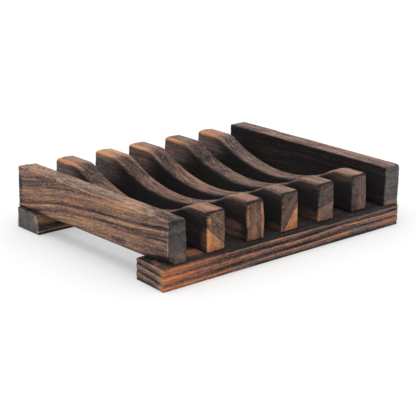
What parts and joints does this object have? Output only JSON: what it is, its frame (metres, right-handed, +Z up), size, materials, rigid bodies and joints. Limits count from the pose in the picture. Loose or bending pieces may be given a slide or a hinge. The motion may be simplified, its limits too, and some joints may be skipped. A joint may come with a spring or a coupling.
{
  "type": "soap dish",
  "caption": "Slatted soap dish of charred, brushed wood: scooped slats between two straight end bars, carried on a pair of flat base rails so that water drains through.",
  "frame": {"origin": "middle of the footprint, on the floor", "axes": "+X along the base rails to the right, +Y back along the slats, +Z up"},
  "size_m": [0.124, 0.0954, 0.0241],
  "materials": {
    "charred_wood": "charred and brushed, worn to orange-brown on the arrises, satin oil",
    "steel_brad": "bright drawn wire"
  },
  "bodies": {
    "root": {"front_rail": "charred_wood", "rear_rail": "charred_wood", "left_end_bar": "charred_wood", "right_end_bar": "charred_wood", "slat_1": "charred_wood", "slat_2": "charred_wood", "slat_3": "charred_wood", "slat_4": "charred_wood", "slat_5": "charred_wood", "front_brads": "steel_brad", "rear_brads": "steel_brad"}
  },
  "joints": []
}
